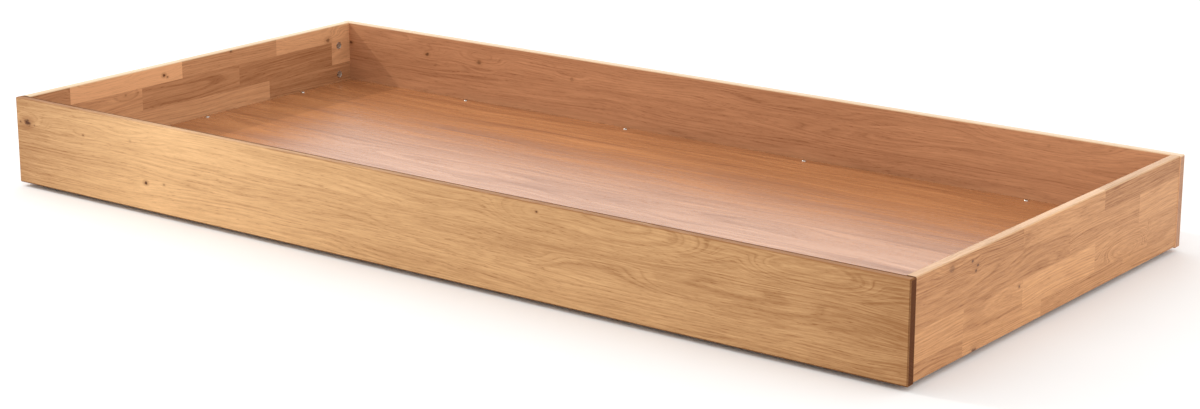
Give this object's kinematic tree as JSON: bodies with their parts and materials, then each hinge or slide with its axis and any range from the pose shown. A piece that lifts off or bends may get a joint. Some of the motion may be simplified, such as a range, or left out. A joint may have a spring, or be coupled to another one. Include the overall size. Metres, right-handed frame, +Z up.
{
  "type": "under bed box",
  "caption": "Shallow open oak storage box for the space under a bed: four panels on cam fittings, a screwed-down floor on battens, and small fixed castors.",
  "frame": {"origin": "on the ground, under the middle of the box", "axes": "+X along the long panels, towards the right side; +Y from front to back; +Z up"},
  "size_m": [1.98, 0.94, 0.176],
  "materials": {
    "oak_boards": "oiled satin",
    "oak_staves": "oiled satin",
    "oak_floor": "satin lacquered veneer",
    "batten_wood": "planed, unfinished",
    "dowel_beech": "fluted, unfinished",
    "cam_zinc": "die-cast, dull",
    "bright_steel": "nickel plated",
    "castor_steel": "zinc plated sheet",
    "castor_plastic": "moulded"
  },
  "bodies": {
    "box": {"front_panel": "oak_boards", "back_panel": "oak_boards", "left_side_panel": "oak_staves", "right_side_panel": "oak_staves", "floor_panel": "oak_floor", "front_batten": "batten_wood", "back_batten": "batten_wood", "left_batten": "batten_wood", "right_batten": "batten_wood", "cross_rail_1": "batten_wood", "cross_rail_2": "batten_wood", "cross_rail_3": "batten_wood", "cam_lock_front_left_upper": "cam_zinc", "cam_bolt_front_left_upper": "bright_steel", "cam_lock_front_left_lower": "cam_zinc", "cam_bolt_front_left_lower": "bright_steel", "dowel_front_left": "dowel_beech", "castor_bracket_front_left": "castor_steel", "castor_axle_front_left": "bright_steel", "cam_lock_back_left_upper": "cam_zinc", "cam_bolt_back_left_upper": "bright_steel", "cam_lock_back_left_lower": "cam_zinc", "cam_bolt_back_left_lower": "bright_steel", "dowel_back_left": "dowel_beech", "castor_bracket_back_left": "castor_steel", "castor_axle_back_left": "bright_steel", "cam_lock_front_right_upper": "cam_zinc", "cam_bolt_front_right_upper": "bright_steel", "cam_lock_front_right_lower": "cam_zinc", "cam_bolt_front_right_lower": "bright_steel", "dowel_front_right": "dowel_beech", "castor_bracket_front_right": "castor_steel", "castor_axle_front_right": "bright_steel", "cam_lock_back_right_upper": "cam_zinc", "cam_bolt_back_right_upper": "bright_steel", "cam_lock_back_right_lower": "cam_zinc", "cam_bolt_back_right_lower": "bright_steel", "dowel_back_right": "dowel_beech", "castor_bracket_back_right": "castor_steel", "castor_axle_back_right": "bright_steel", "floor_screw_front_1": "bright_steel", "floor_screw_front_2": "bright_steel", "floor_screw_front_3": "bright_steel", "floor_screw_front_4": "bright_steel", "floor_screw_back_1": "bright_steel", "floor_screw_back_2": "bright_steel", "floor_screw_back_3": "bright_steel", "floor_screw_back_4": "bright_steel", "floor_screw_left_1": "bright_steel", "floor_screw_left_2": "bright_steel", "floor_screw_left_3": "bright_steel", "floor_screw_right_1": "bright_steel", "floor_screw_right_2": "bright_steel", "floor_screw_right_3": "bright_steel"},
    "wheel_front_left": {"castor_wheel_front_left": "castor_plastic"},
    "wheel_back_left": {"castor_wheel_back_left": "castor_plastic"},
    "wheel_front_right": {"castor_wheel_front_right": "castor_plastic"},
    "wheel_back_right": {"castor_wheel_back_right": "castor_plastic"}
  },
  "joints": [
    {"name": "wheel_front_left_roll", "type": "hinge", "parent": "box", "child": "wheel_front_left", "pos_m": [-0.96, -0.361, 0.015], "axis": [1, 0, 0], "continuous": true},
    {"name": "wheel_back_left_roll", "type": "hinge", "parent": "box", "child": "wheel_back_left", "pos_m": [-0.96, 0.361, 0.015], "axis": [1, 0, 0], "continuous": true},
    {"name": "wheel_front_right_roll", "type": "hinge", "parent": "box", "child": "wheel_front_right", "pos_m": [0.96, -0.361, 0.015], "axis": [1, 0, 0], "continuous": true},
    {"name": "wheel_back_right_roll", "type": "hinge", "parent": "box", "child": "wheel_back_right", "pos_m": [0.96, 0.361, 0.015], "axis": [1, 0, 0], "continuous": true}
  ]
}
